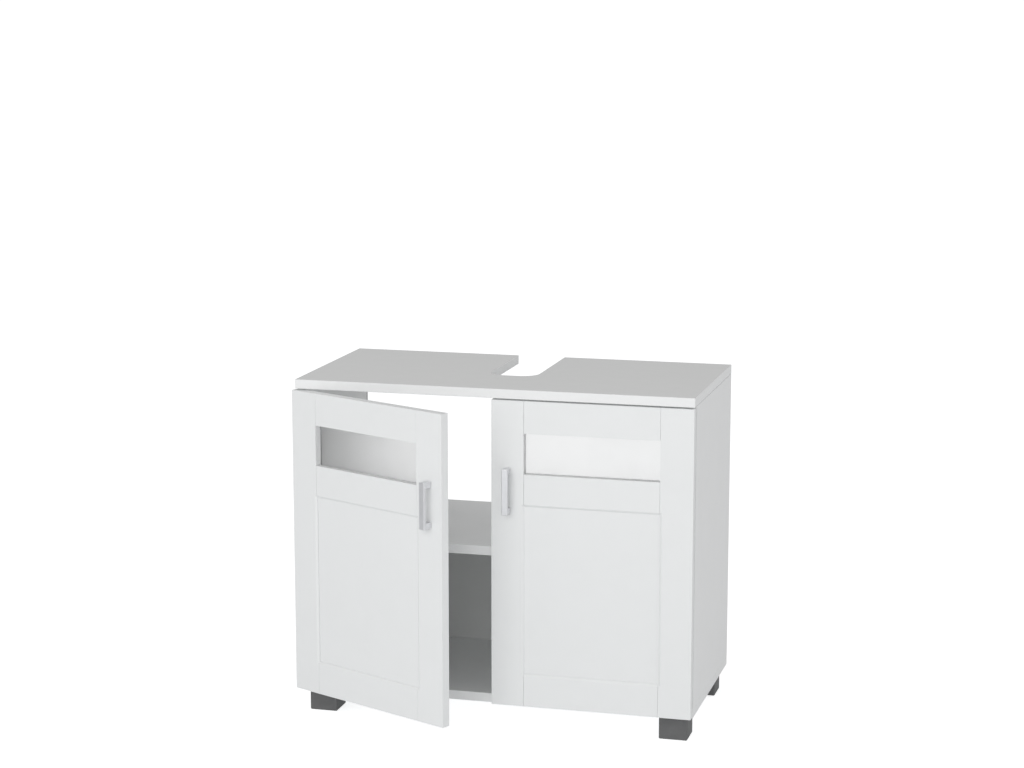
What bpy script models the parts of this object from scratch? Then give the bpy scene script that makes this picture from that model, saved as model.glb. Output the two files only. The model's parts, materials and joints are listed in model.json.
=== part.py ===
"""Two-door bathroom cabinet that stands under a basin.

Metres, +Z up. X = 0 is the middle of the width, Z = 0 is the floor, and the doors face -Y.
Y = 0 is halfway between the left door's handle, as that door stands ajar, and the back edge.
"""

import math

import bmesh
import bpy
from mathutils import Matrix, Vector

# Carcass
WIDTH = 0.650
HEIGHT = 0.555
DEPTH = 0.3225  # of the top board, which covers the doors
BOARD = 0.015
CORNER_RADIUS = 0.0007  # the small rounding of every board's edges
CARCASS_BACK_STEP = 0.001  # sides, base and shelf end this far before the top board's back edge
SHELF_HEIGHT = 0.2825  # from the floor to the shelf's underside
BACK_THICKNESS = 0.003
BACK_INSET = 0.0065  # from the sides' back edge to the back panel
GROOVE_DEPTH = 0.006
GAP = 0.0003  # between pieces that touch

# Cut-out for the drain pipe
CUTOUT_WIDTH = 0.080
CUTOUT_DEPTH = 0.198
CUTOUT_RADIUS = 0.028

# Feet
FOOT = 0.046
FOOT_HEIGHT = 0.040
FOOT_RADIUS = 0.0022
FOOT_SIDE_INSET = 0.010
FOOT_FRONT_INSET = 0.008
FOOT_BACK_INSET = 0.010

# Doors
DOOR_THICKNESS = 0.015
DOOR_SIDE_REVEAL = 0.0005  # the door's hinge edge lies this far inside the side panel's face
DOOR_MIDDLE_GAP = 0.003
DOOR_TOP_GAP = 0.0022
DOOR_BOTTOM_LIFT = 0.0028  # above the base board's underside
DOOR_BACK_GAP = 0.0015  # between a door and the boards that it closes on
STILE = 0.0525
TOP_RAIL = 0.0518
MIDDLE_RAIL = 0.052
BOTTOM_RAIL = 0.0535
WINDOW_HEIGHT = 0.0652
DOOR_AJAR = math.radians(25.5)  # how far the left door stands open
HINGE_AXIS_FROM_BACK = 0.002  # the hinge axis lies in the hinge edge, this far before the door's back

# Lower panel
PANEL_RECESS = 0.0033  # from the frame's face to the panel's face
PANEL_BEVEL = 0.0035  # width of the sloping edge that frames the panel
PANEL_BEVEL_DEPTH = 0.0025
PANEL_THICKNESS = 0.008
PANEL_TONGUE = 0.006

# Glass
GLASS_THICKNESS = 0.003
GLASS_LAP = 0.006  # of the glass over the frame, on each side
RETAINER_THICKNESS = 0.0016
RETAINER_LAP = 0.009  # of the retainer over the frame
RETAINER_SETBACK = 0.0005  # from the window's edge, so that the retainer can't be seen through the glass

# Handle
HANDLE_LENGTH = 0.074
HANDLE_WIDTH = 0.010
HANDLE_REACH = 0.0175
HANDLE_BAR = 0.005  # thickness of the grip bar; its legs are as thick as the handle is wide
HANDLE_HEIGHT = 0.394  # of its middle, above the floor
SCREW_RADIUS = 0.002
SCREW_HEAD_RADIUS = 0.004
SCREW_HEAD = 0.0018
SCREW_BITE = 0.006  # how far a screw goes into the handle's leg

# Hinges
HINGE_FROM_DOOR_END = 0.090
CUP_RADIUS = 0.0175
CUP_DEPTH = 0.0115
CUP_FROM_EDGE = 0.022
CUP_WALL = 0.0012
FLANGE_THICKNESS = 0.001
FLANGE_LENGTH = 0.058
FLANGE_WIDTH = 0.015
EAR_START = 0.0157  # from the cup's middle to where the flange leaves its rim
ARM_WIDTH = 0.012
ARM_HEIGHT = 0.014  # off the plate
ARM_NOSE = 0.011
ARM_NOSE_DEPTH = 0.0085  # how far the nose reaches into the cup
ARM_REAR = 0.062  # how far the arm goes back from the door's back face
PLATE_THICKNESS = 0.0022
PLATE_FRONT = 0.028  # from the door's back face
PLATE_BACK = 0.066
PLATE_HEIGHT = 0.046

# Stop buffers
BUFFER_RADIUS = 0.004
BUFFER_THICKNESS = 0.0009
BUFFER_FROM_EDGE = 0.020

# Cam locks and shelf pins
CAM_RADIUS = 0.0075
CAM_DEPTH = 0.0125
CAM_FROM_END = 0.034
CAM_FROM_FRONT = 0.045
CAM_SLOT = 0.0016
CAM_SLOT_LENGTH = 0.009
CAM_SLOT_DEPTH = 0.003
PIN_RADIUS = 0.0025
PIN_DEPTH = 0.009
PIN_LEDGE = 0.010
PIN_FROM_FRONT = 0.040

# Worked out from the values above
DOOR_WIDTH = (WIDTH - 2 * DOOR_SIDE_REVEAL - DOOR_MIDDLE_GAP) / 2
DOOR_BOTTOM = FOOT_HEIGHT + DOOR_BOTTOM_LIFT
DOOR_TOP = HEIGHT - BOARD - DOOR_TOP_GAP
PANEL_BOTTOM = DOOR_BOTTOM + BOTTOM_RAIL
WINDOW_TOP = DOOR_TOP - TOP_RAIL
WINDOW_BOTTOM = WINDOW_TOP - WINDOW_HEIGHT
PANEL_TOP = WINDOW_BOTTOM - MIDDLE_RAIL
HANDLE_X = DOOR_WIDTH - STILE / 2  # from the hinge edge

# In a door's own frame, x runs from the hinge edge to the free edge and y = 0 is the hinge axis.
DOOR_BACK_Y = HINGE_AXIS_FROM_BACK
DOOR_FRONT_Y = DOOR_BACK_Y - DOOR_THICKNESS
HANDLE_FRONT_Y = DOOR_FRONT_Y - HANDLE_REACH

# Depths below are counted from the top board's front edge.
CARCASS_FRONT = DOOR_THICKNESS  # the doors stand proud of the top board by their back gap
CARCASS_BACK = DEPTH - CARCASS_BACK_STEP
HINGE_AXIS_DEPTH = CARCASS_FRONT - DOOR_BACK_GAP - HINGE_AXIS_FROM_BACK

AJAR_REACH = (
    (HANDLE_X + HANDLE_WIDTH / 2) * math.sin(DOOR_AJAR)
    - HANDLE_FRONT_Y * math.cos(DOOR_AJAR)
    - HINGE_AXIS_DEPTH
)
FRONT_Y = -(DEPTH - AJAR_REACH) / 2  # the top board's front edge

SIDES = {"left": -1, "right": 1}
ROUND_STEPS = 28
BUTTON_STEPS = 20  # for cam locks, screw heads and buffers
PIN_STEPS = 16  # for pins, screw shanks and their bores
ARC_STEPS = 10  # for each rounded corner of the cut-out


def clear_scene():
    for obj in list(bpy.data.objects):
        bpy.data.objects.remove(obj, do_unlink=True)


def material(name, colour, roughness, metallic=0.0, transmission=0.0):
    made = bpy.data.materials.new(name)
    made.use_nodes = True
    shader = made.node_tree.nodes["Principled BSDF"]
    shader.inputs["Base Color"].default_value = (*colour, 1.0)
    shader.inputs["Roughness"].default_value = roughness
    shader.inputs["Metallic"].default_value = metallic
    shader.inputs["Transmission Weight"].default_value = transmission
    made.diffuse_color = (*colour, 1.0)
    return made


def add_object(name, bm, finish, parent=None):
    """Makes an object of this mesh, with each face turned out."""
    bmesh.ops.recalc_face_normals(bm, faces=bm.faces)
    mesh = bpy.data.meshes.new(name)
    bm.to_mesh(mesh)
    bm.free()
    obj = bpy.data.objects.new(name, mesh)
    bpy.context.scene.collection.objects.link(obj)
    if finish:
        mesh.materials.append(finish)
    obj.parent = parent
    return obj


def box_mesh(low, high):
    low, high = ordered(low, high)
    bm = bmesh.new()
    size = [b - a for a, b in zip(low, high)]
    middle = [(a + b) / 2 for a, b in zip(low, high)]
    bmesh.ops.create_cube(bm, size=1.0, matrix=Matrix.Translation(middle) @ Matrix.Diagonal((*size, 1)))
    return bm


def ordered(low, high):
    return [min(a, b) for a, b in zip(low, high)], [max(a, b) for a, b in zip(low, high)]


def bevel(bm, edges, width, segments=1):
    bmesh.ops.bevel(
        bm, geom=edges, offset=width, offset_type="OFFSET", segments=segments, profile=0.5, affect="EDGES"
    )


def board(name, low, high, finish, parent=None, radius=CORNER_RADIUS):
    """A cut board with a small chamfer on each edge."""
    bm = box_mesh(low, high)
    bevel(bm, list(bm.edges), radius)
    return add_object(name, bm, finish, parent)


def cylinder_mesh(radius, start, end, axis, steps=ROUND_STEPS):
    """A closed cylinder between two points, which lie on a line along this axis (0, 1 or 2)."""
    start, end = Vector(start), Vector(end)
    turn = [Matrix.Rotation(math.pi / 2, 4, "Y"), Matrix.Rotation(math.pi / 2, 4, "X"), Matrix()][axis]
    bm = bmesh.new()
    bmesh.ops.create_cone(
        bm,
        cap_ends=True,
        segments=steps,
        radius1=radius,
        radius2=radius,
        depth=(end - start).length,
        matrix=Matrix.Translation((start + end) / 2) @ turn,
    )
    return bm


def prism_mesh(outline, low, high, axis):
    """A closed prism: an outline of (u, v) points carried from low to high along one axis."""
    bm = bmesh.new()
    order = {0: (2, 0, 1), 1: (0, 2, 1), 2: (0, 1, 2)}[axis]

    def place(u, v, w):
        point = (u, v, w)
        return Vector([point[i] for i in order])

    near = [bm.verts.new(place(u, v, low)) for u, v in outline]
    far = [bm.verts.new(place(u, v, high)) for u, v in outline]
    bm.faces.new(near)
    bm.faces.new(list(reversed(far)))
    for i in range(len(outline)):
        j = (i + 1) % len(outline)
        bm.faces.new((near[j], near[i], far[i], far[j]))
    return bm


def frustum_mesh(x_range, z_range, front, depth, slope):
    """The space of a recess whose four walls slope inwards with depth; it starts above the surface."""
    bm = bmesh.new()
    above = depth
    rings = []
    for y, inset in ((front - above, -slope), (front + depth, slope)):
        corners = (
            (x_range[0] + inset, z_range[0] + inset),
            (x_range[1] - inset, z_range[0] + inset),
            (x_range[1] - inset, z_range[1] - inset),
            (x_range[0] + inset, z_range[1] - inset),
        )
        rings.append([bm.verts.new((x, y, z)) for x, z in corners])
    bm.faces.new(rings[0])
    bm.faces.new(list(reversed(rings[1])))
    for i in range(4):
        j = (i + 1) % 4
        bm.faces.new((rings[0][j], rings[0][i], rings[1][i], rings[1][j]))
    return bm


def cutter(name, bm, parent=None):
    obj = add_object(name, bm, None, parent)
    obj.hide_render = True
    obj.display_type = "WIRE"
    return obj


def boolean(obj, other, operation="DIFFERENCE"):
    modifier = obj.modifiers.new(f"{operation.lower()}_{other.name}", "BOOLEAN")
    modifier.operation = operation
    modifier.object = other
    modifier.solver = "EXACT"


def smooth(obj, angle=40):
    obj.data.shade_smooth()
    obj.data.set_sharp_from_angle(angle=math.radians(angle))


def y_at(depth):
    """World Y of a depth counted from the top board's front edge."""
    return FRONT_Y + depth


# Carcass


def cutout_outline():
    """The U-shaped cut-out, open towards the back, with its two inner corners rounded."""
    half = CUTOUT_WIDTH / 2
    inner = y_at(DEPTH - CUTOUT_DEPTH)
    outer = y_at(DEPTH) + BOARD
    points = [(half, outer)]
    for side in (1, -1):
        for i in range(ARC_STEPS + 1):
            turn = math.pi / 2 * (i if side == 1 else ARC_STEPS - i) / ARC_STEPS
            points.append(
                (
                    side * (half - CUTOUT_RADIUS + CUTOUT_RADIUS * math.cos(turn)),
                    inner + CUTOUT_RADIUS - CUTOUT_RADIUS * math.sin(turn),
                )
            )
    points.append((-half, outer))
    return points


def top_board(white):
    top = board("top_board", (-WIDTH / 2, y_at(0), HEIGHT - BOARD), (WIDTH / 2, y_at(DEPTH), HEIGHT), white)
    opening = prism_mesh(cutout_outline(), HEIGHT - 2 * BOARD, HEIGHT + BOARD, 2)
    boolean(top, cutter("cut_pipe", opening))


def back_groove(name, low, high):
    """The space of the groove that the back panel's edge sits in."""
    back = CARCASS_BACK - BACK_INSET
    return cutter(
        name,
        box_mesh(
            (low[0], y_at(back - BACK_THICKNESS - GAP), low[1]),
            (high[0], y_at(back + GAP), high[1]),
        ),
    )


def base_board(white):
    base = board(
        "base_board",
        (-WIDTH / 2, y_at(CARCASS_FRONT), FOOT_HEIGHT),
        (WIDTH / 2, y_at(CARCASS_BACK), FOOT_HEIGHT + BOARD),
        white,
    )
    top = FOOT_HEIGHT + BOARD
    half = WIDTH / 2 - BOARD + GROOVE_DEPTH
    boolean(base, back_groove("cut_base_groove", (-half, top - GROOVE_DEPTH), (half, top + BOARD)))


def side_panel(side, white):
    sign = SIDES[side]
    outer, inner = sign * WIDTH / 2, sign * (WIDTH / 2 - BOARD)
    low, high = FOOT_HEIGHT + BOARD + GAP, HEIGHT - BOARD - GAP
    panel = board(
        f"{side}_side_panel", (outer, y_at(CARCASS_FRONT), low), (inner, y_at(CARCASS_BACK), high), white
    )
    groove_ends = sorted((inner - sign * BOARD, inner + sign * GROOVE_DEPTH))
    groove = back_groove(
        f"cut_{side}_groove", (groove_ends[0], low - BOARD), (groove_ends[1], high + BOARD)
    )
    boolean(panel, groove)
    for name, depth, height in cam_places(side):
        start = (inner + sign * (CAM_DEPTH + GAP), y_at(depth), height)
        end = (inner - sign * BOARD, y_at(depth), height)
        boolean(panel, cutter(f"cut_{name}", cylinder_mesh(CAM_RADIUS + GAP, start, end, 0)))
    for name, depth in pin_places(side):
        start = (inner + sign * (PIN_DEPTH + GAP), y_at(depth), pin_height())
        end = (inner - sign * BOARD, y_at(depth), pin_height())
        boolean(panel, cutter(f"cut_{name}", cylinder_mesh(PIN_RADIUS + GAP, start, end, 0, PIN_STEPS)))


def shelf(white):
    half = WIDTH / 2 - BOARD - GAP
    made = board(
        "shelf",
        (-half, y_at(CARCASS_FRONT), SHELF_HEIGHT),
        (half, y_at(CARCASS_BACK), SHELF_HEIGHT + BOARD),
        white,
    )
    low, high = SHELF_HEIGHT - BOARD, SHELF_HEIGHT + GROOVE_DEPTH
    boolean(made, back_groove("cut_shelf_groove", (-WIDTH / 2, low), (WIDTH / 2, high)))


def back_panel(white):
    half = WIDTH / 2 - BOARD + GROOVE_DEPTH - GAP
    back = CARCASS_BACK - BACK_INSET
    bm = box_mesh(
        (-half, y_at(back - BACK_THICKNESS), FOOT_HEIGHT + BOARD - GROOVE_DEPTH + GAP),
        (half, y_at(back), SHELF_HEIGHT + GROOVE_DEPTH - GAP),
    )
    add_object("back_panel", bm, white)


def feet(plastic):
    for side, sign in SIDES.items():
        outer = sign * (WIDTH / 2 - FOOT_SIDE_INSET)
        fronts = {
            "front": CARCASS_FRONT + FOOT_FRONT_INSET,
            "back": CARCASS_BACK - FOOT_BACK_INSET - FOOT,
        }
        for end, front in fronts.items():
            inner = outer - sign * FOOT
            bm = box_mesh((outer, y_at(front), 0), (inner, y_at(front + FOOT), FOOT_HEIGHT - GAP))
            lower = [e for e in bm.edges if min(v.co.z for v in e.verts) < FOOT_HEIGHT / 2]
            bevel(bm, lower, FOOT_RADIUS, 3)
            smooth(add_object(f"{end}_{side}_foot", bm, plastic))


# Cam locks and shelf pins


def cam_places(side):
    """(node name, depth, height) of each cam lock in this side panel."""
    depths = {"front": CARCASS_FRONT + CAM_FROM_FRONT, "back": CARCASS_BACK - CAM_FROM_FRONT}
    heights = {
        "lower": FOOT_HEIGHT + BOARD + CAM_FROM_END,
        "upper": HEIGHT - BOARD - CAM_FROM_END,
    }
    return [
        (f"{side}_{level}_{end}_cam_lock", depth, height)
        for level, height in heights.items()
        for end, depth in depths.items()
    ]


def cam_locks(side, zinc):
    """Each is a round nut in the panel's inner face, with a cross slot to turn it by."""
    sign = SIDES[side]
    inner = sign * (WIDTH / 2 - BOARD)
    for name, depth, height in cam_places(side):
        face = inner + sign * GAP
        start = (face, y_at(depth), height)
        end = (inner + sign * CAM_DEPTH, y_at(depth), height)
        bm = cylinder_mesh(CAM_RADIUS, start, end, 0, BUTTON_STEPS)
        cam = add_object(name, bm, zinc)
        smooth(cam)
        long, short = CAM_SLOT_LENGTH / 2, CAM_SLOT / 2
        for turn, (dy, dz) in enumerate(((long, short), (short, long))):
            slot = box_mesh(
                (face - sign * CAM_SLOT_DEPTH, y_at(depth) - dy, height - dz),
                (face + sign * CAM_SLOT_DEPTH, y_at(depth) + dy, height + dz),
            )
            boolean(cam, cutter(f"cut_{name}_{turn}", slot))


def pin_height():
    return SHELF_HEIGHT - GAP - PIN_RADIUS


def pin_places(side):
    return [
        (f"{side}_front_shelf_pin", CARCASS_FRONT + PIN_FROM_FRONT),
        (f"{side}_back_shelf_pin", CARCASS_BACK - PIN_FROM_FRONT),
    ]


def shelf_pins(side, zinc):
    """A pin in the side panel with a flat ledge that the shelf rests on."""
    sign = SIDES[side]
    inner = sign * (WIDTH / 2 - BOARD)
    for name, depth in pin_places(side):
        z = pin_height()
        start = (inner + sign * PIN_DEPTH, y_at(depth), z)
        end = (inner - sign * PIN_LEDGE / 2, y_at(depth), z)
        pin = add_object(name, cylinder_mesh(PIN_RADIUS, start, end, 0, PIN_STEPS), zinc)
        ledge = box_mesh(
            (inner - sign * GAP, y_at(depth) - PIN_LEDGE / 2, z - 2 * PIN_RADIUS),
            (inner - sign * PIN_LEDGE, y_at(depth) + PIN_LEDGE / 2, z + PIN_RADIUS),
        )
        boolean(pin, cutter(f"join_{name}", ledge), "UNION")


# Doors


def door_frame(side):
    """An empty on the door's hinge axis, which turns the whole door."""
    sign = SIDES[side]
    empty = bpy.data.objects.new(f"{side}_door_axis", None)
    bpy.context.scene.collection.objects.link(empty)
    empty.location = (sign * (WIDTH / 2 - DOOR_SIDE_REVEAL), y_at(HINGE_AXIS_DEPTH), 0)
    empty.rotation_euler = (0, 0, -DOOR_AJAR if side == "left" else 0)
    return empty


def across(side, distance):
    """A door's own x at this distance from its hinge edge."""
    return -SIDES[side] * distance


def door_box(side, x_range, y_range, z_range):
    return box_mesh(
        (across(side, x_range[0]), y_range[0], z_range[0]),
        (across(side, x_range[1]), y_range[1], z_range[1]),
    )


def frame_pieces():
    """Name, x range and z range of each stile and rail of a door's frame."""
    inner = (STILE + GAP, DOOR_WIDTH - STILE - GAP)
    return {
        "hinge_stile": ((0, STILE), (DOOR_BOTTOM, DOOR_TOP)),
        "handle_stile": ((DOOR_WIDTH - STILE, DOOR_WIDTH), (DOOR_BOTTOM, DOOR_TOP)),
        "top_rail": (inner, (WINDOW_TOP, DOOR_TOP)),
        "middle_rail": (inner, (PANEL_TOP, WINDOW_BOTTOM)),
        "bottom_rail": (inner, (DOOR_BOTTOM, PANEL_BOTTOM)),
    }


def door_cutters(side, axis):
    """The spaces cut from a door's frame, each with the pieces that it cuts."""
    window_x = (STILE, DOOR_WIDTH - STILE)
    rebate = cutter(
        f"cut_{side}_rebate",
        door_box(
            side,
            (window_x[0] - GLASS_LAP - GAP, window_x[1] + GLASS_LAP + GAP),
            (DOOR_BACK_Y - GLASS_THICKNESS - 2 * GAP, DOOR_BACK_Y + DOOR_THICKNESS),
            (WINDOW_BOTTOM - GLASS_LAP - GAP, WINDOW_TOP + GLASS_LAP + GAP),
        ),
        axis,
    )
    panel_front = DOOR_FRONT_Y + PANEL_RECESS
    groove = cutter(
        f"cut_{side}_panel_groove",
        door_box(
            side,
            (window_x[0] - PANEL_TONGUE - GAP, window_x[1] + PANEL_TONGUE + GAP),
            (panel_front - GAP, panel_front + PANEL_THICKNESS + GAP),
            (PANEL_BOTTOM - PANEL_TONGUE - GAP, PANEL_TOP + PANEL_TONGUE + GAP),
        ),
        axis,
    )
    sides = sorted((across(side, window_x[0]), across(side, window_x[1])))
    slope = cutter(
        f"cut_{side}_panel_slope",
        frustum_mesh(
            (sides[0] - PANEL_BEVEL, sides[1] + PANEL_BEVEL),
            (PANEL_BOTTOM - PANEL_BEVEL, PANEL_TOP + PANEL_BEVEL),
            DOOR_FRONT_Y,
            PANEL_BEVEL_DEPTH,
            PANEL_BEVEL,
        ),
        axis,
    )
    cups = [
        cutter(
            f"cut_{side}_{level}_cup",
            cylinder_mesh(
                CUP_RADIUS + GAP,
                (across(side, CUP_FROM_EDGE), DOOR_BACK_Y - CUP_DEPTH - GAP, height),
                (across(side, CUP_FROM_EDGE), DOOR_BACK_Y + DOOR_THICKNESS, height),
                1,
            ),
            axis,
        )
        for level, height in hinge_heights().items()
    ]
    screws = [
        cutter(
            f"cut_{side}_{level}_handle_screw",
            cylinder_mesh(
                SCREW_RADIUS + GAP,
                (across(side, HANDLE_X), DOOR_FRONT_Y - DOOR_THICKNESS, height),
                (across(side, HANDLE_X), DOOR_BACK_Y + DOOR_THICKNESS, height),
                1,
                PIN_STEPS,
            ),
            axis,
        )
        for level, height in handle_screw_heights().items()
    ]
    return {
        "hinge_stile": [rebate, groove, slope, *cups],
        "handle_stile": [rebate, groove, slope, *screws],
        "top_rail": [rebate],
        "middle_rail": [rebate, groove, slope],
        "bottom_rail": [groove, slope],
    }


def hinge_heights():
    return {"lower": DOOR_BOTTOM + HINGE_FROM_DOOR_END, "upper": DOOR_TOP - HINGE_FROM_DOOR_END}


def handle_screw_heights():
    half = (HANDLE_LENGTH - HANDLE_WIDTH) / 2
    return {"lower": HANDLE_HEIGHT - half, "upper": HANDLE_HEIGHT + half}


def door_panels(side, axis, white):
    cutters = door_cutters(side, axis)
    for name, (x_range, z_range) in frame_pieces().items():
        bm = door_box(side, x_range, (DOOR_FRONT_Y, DOOR_BACK_Y), z_range)
        bevel(bm, list(bm.edges), CORNER_RADIUS)
        piece = add_object(f"{side}_door_{name}", bm, white, axis)
        for tool in cutters[name]:
            boolean(piece, tool)
    panel_front = DOOR_FRONT_Y + PANEL_RECESS
    panel = door_box(
        side,
        (STILE - PANEL_TONGUE, DOOR_WIDTH - STILE + PANEL_TONGUE),
        (panel_front, panel_front + PANEL_THICKNESS),
        (PANEL_BOTTOM - PANEL_TONGUE, PANEL_TOP + PANEL_TONGUE),
    )
    add_object(f"{side}_door_lower_panel", panel, white, axis)


def door_glass(side, axis, glass, plastic):
    """The pane in its rebate, and the plastic frame behind it that holds it there."""
    pane = door_box(
        side,
        (STILE - GLASS_LAP, DOOR_WIDTH - STILE + GLASS_LAP),
        (DOOR_BACK_Y - GLASS_THICKNESS - GAP, DOOR_BACK_Y - GAP),
        (WINDOW_BOTTOM - GLASS_LAP, WINDOW_TOP + GLASS_LAP),
    )
    add_object(f"{side}_door_glass", pane, glass, axis)
    front = DOOR_BACK_Y + GAP
    frame = door_box(
        side,
        (STILE - RETAINER_LAP, DOOR_WIDTH - STILE + RETAINER_LAP),
        (front, front + RETAINER_THICKNESS),
        (WINDOW_BOTTOM - RETAINER_LAP, WINDOW_TOP + RETAINER_LAP),
    )
    retainer = add_object(f"{side}_door_glass_retainer", frame, plastic, axis)
    opening = door_box(
        side,
        (STILE - RETAINER_SETBACK, DOOR_WIDTH - STILE + RETAINER_SETBACK),
        (DOOR_FRONT_Y, DOOR_BACK_Y + DOOR_THICKNESS),
        (WINDOW_BOTTOM - RETAINER_SETBACK, WINDOW_TOP + RETAINER_SETBACK),
    )
    boolean(retainer, cutter(f"cut_{side}_retainer", opening, axis))


def door_handle(side, axis, aluminium, steel):
    """A straight bow of flat bar, with two legs, and the screws that hold it from behind the door."""
    low, high = HANDLE_HEIGHT - HANDLE_LENGTH / 2, HANDLE_HEIGHT + HANDLE_LENGTH / 2
    foot = DOOR_FRONT_Y - GAP
    outline = (
        (foot, low),
        (HANDLE_FRONT_Y, low),
        (HANDLE_FRONT_Y, high),
        (foot, high),
        (foot, high - HANDLE_WIDTH),
        (HANDLE_FRONT_Y + HANDLE_BAR, high - HANDLE_WIDTH),
        (HANDLE_FRONT_Y + HANDLE_BAR, low + HANDLE_WIDTH),
        (foot, low + HANDLE_WIDTH),
    )
    middle = across(side, HANDLE_X)
    bm = prism_mesh(outline, middle - HANDLE_WIDTH / 2, middle + HANDLE_WIDTH / 2, 0)
    bevel(bm, [e for e in bm.edges if outer_handle_edge(e)], CORNER_RADIUS, 2)
    handle = add_object(f"{side}_door_handle", bm, aluminium, axis)
    for level, height in handle_screw_heights().items():
        tip = (middle, DOOR_FRONT_Y - SCREW_BITE, height)
        bore_end = (middle, DOOR_FRONT_Y - SCREW_BITE - GAP, height)
        bore = cylinder_mesh(SCREW_RADIUS + GAP, bore_end, (middle, DOOR_BACK_Y, height), 1, PIN_STEPS)
        boolean(handle, cutter(f"cut_{side}_{level}_handle_bore", bore, axis))
        under_head = (middle, DOOR_BACK_Y + GAP, height)
        shank = cylinder_mesh(SCREW_RADIUS, tip, (middle, DOOR_BACK_Y + SCREW_HEAD, height), 1, PIN_STEPS)
        screw = add_object(f"{side}_door_{level}_handle_screw", shank, steel, axis)
        smooth(screw)
        top = (middle, DOOR_BACK_Y + GAP + SCREW_HEAD, height)
        head = cylinder_mesh(SCREW_HEAD_RADIUS, under_head, top, 1, BUTTON_STEPS)
        boolean(screw, cutter(f"join_{side}_{level}_screw_head", head, axis), "UNION")


def outer_handle_edge(edge):
    """True of the edges round the outside of the bow, away from the door."""
    return all(v.co.y < HANDLE_FRONT_Y + HANDLE_BAR / 2 for v in edge.verts)


def door_buffers(side, axis, rubber):
    """Clear buttons that the door closes on: one meets the base board, one meets the shelf."""
    lowest = DOOR_BOTTOM + CORNER_RADIUS + BUFFER_RADIUS
    heights = {"lower": max(FOOT_HEIGHT + BOARD / 2, lowest), "upper": SHELF_HEIGHT + BOARD / 2}
    x = across(side, DOOR_WIDTH - BUFFER_FROM_EDGE)
    for level, z in heights.items():
        front = DOOR_BACK_Y + GAP
        end = (x, front + BUFFER_THICKNESS, z)
        bm = cylinder_mesh(BUFFER_RADIUS, (x, front, z), end, 1, BUTTON_STEPS)
        smooth(add_object(f"{side}_door_{level}_buffer", bm, rubber, axis))


# Hinges


def hinge_cup(name, side, height, axis, steel):
    """A pressed cup in the door's back, with a flange across its mouth that ends in two screw ears."""
    x = across(side, CUP_FROM_EDGE)
    back = DOOR_BACK_Y
    bm = cylinder_mesh(CUP_RADIUS, (x, back - CUP_DEPTH, height), (x, back, height), 1)
    cup = add_object(name, bm, steel, axis)
    smooth(cup)
    bridge = box_mesh(
        (x - FLANGE_WIDTH / 2, back - CUP_WALL / 2, height - EAR_START),
        (x + FLANGE_WIDTH / 2, back + FLANGE_THICKNESS, height + EAR_START),
    )
    boolean(cup, cutter(f"join_{name}", bridge, axis), "UNION")
    for end, sign in (("lower", -1), ("upper", 1)):
        ear = box_mesh(
            (x - FLANGE_WIDTH / 2, back + GAP, height + sign * (EAR_START - CUP_WALL)),
            (x + FLANGE_WIDTH / 2, back + FLANGE_THICKNESS + GAP, height + sign * FLANGE_LENGTH / 2),
        )
        boolean(cup, cutter(f"join_{name}_{end}_ear", ear, axis), "UNION")
    hollow = cylinder_mesh(
        CUP_RADIUS - CUP_WALL,
        (x, back - CUP_DEPTH + CUP_WALL, height),
        (x, back + DOOR_THICKNESS, height),
        1,
    )
    boolean(cup, cutter(f"cut_{name}", hollow, axis))


def hinge_arm(name, side, height, steel):
    """A cranked arm: it lies on its plate along the side panel, and its nose reaches into the cup."""
    sign = SIDES[side]
    edge = sign * (WIDTH / 2 - DOOR_SIDE_REVEAL)
    back = CARCASS_FRONT - DOOR_BACK_GAP
    near = BOARD - DOOR_SIDE_REVEAL + PLATE_THICKNESS + 2 * GAP
    nose = CUP_FROM_EDGE - CUP_RADIUS / 2 - ARM_NOSE / 4
    # Each point is (distance in from the door's hinge edge, distance behind the door's back face).
    outline = (
        (nose, -ARM_NOSE_DEPTH),
        (nose + ARM_NOSE, -ARM_NOSE_DEPTH),
        (near + ARM_HEIGHT, -ARM_NOSE_DEPTH / 4),
        (near + ARM_HEIGHT, ARM_NOSE),
        (near + ARM_NOSE, ARM_REAR),
        (near, ARM_REAR),
        (near, 0),
        (nose, -ARM_NOSE_DEPTH / 3),
    )
    points = [(edge - sign * x, y_at(back + y)) for x, y in outline]
    bm = prism_mesh(points, height - ARM_WIDTH / 2, height + ARM_WIDTH / 2, 2)
    bmesh.ops.recalc_face_normals(bm, faces=bm.faces)
    folds = [e for e in bm.edges if e.verts[0].co.xy == e.verts[1].co.xy and e.is_convex]
    bevel(bm, folds, CORNER_RADIUS)
    add_object(name, bm, steel)


def hinge_plate(name, side, height, steel):
    sign = SIDES[side]
    back = CARCASS_FRONT - DOOR_BACK_GAP
    inner = WIDTH / 2 - BOARD
    board(
        name,
        (sign * (inner - GAP), y_at(back + PLATE_FRONT), height - PLATE_HEIGHT / 2),
        (sign * (inner - GAP - PLATE_THICKNESS), y_at(back + PLATE_BACK), height + PLATE_HEIGHT / 2),
        steel,
    )


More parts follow.
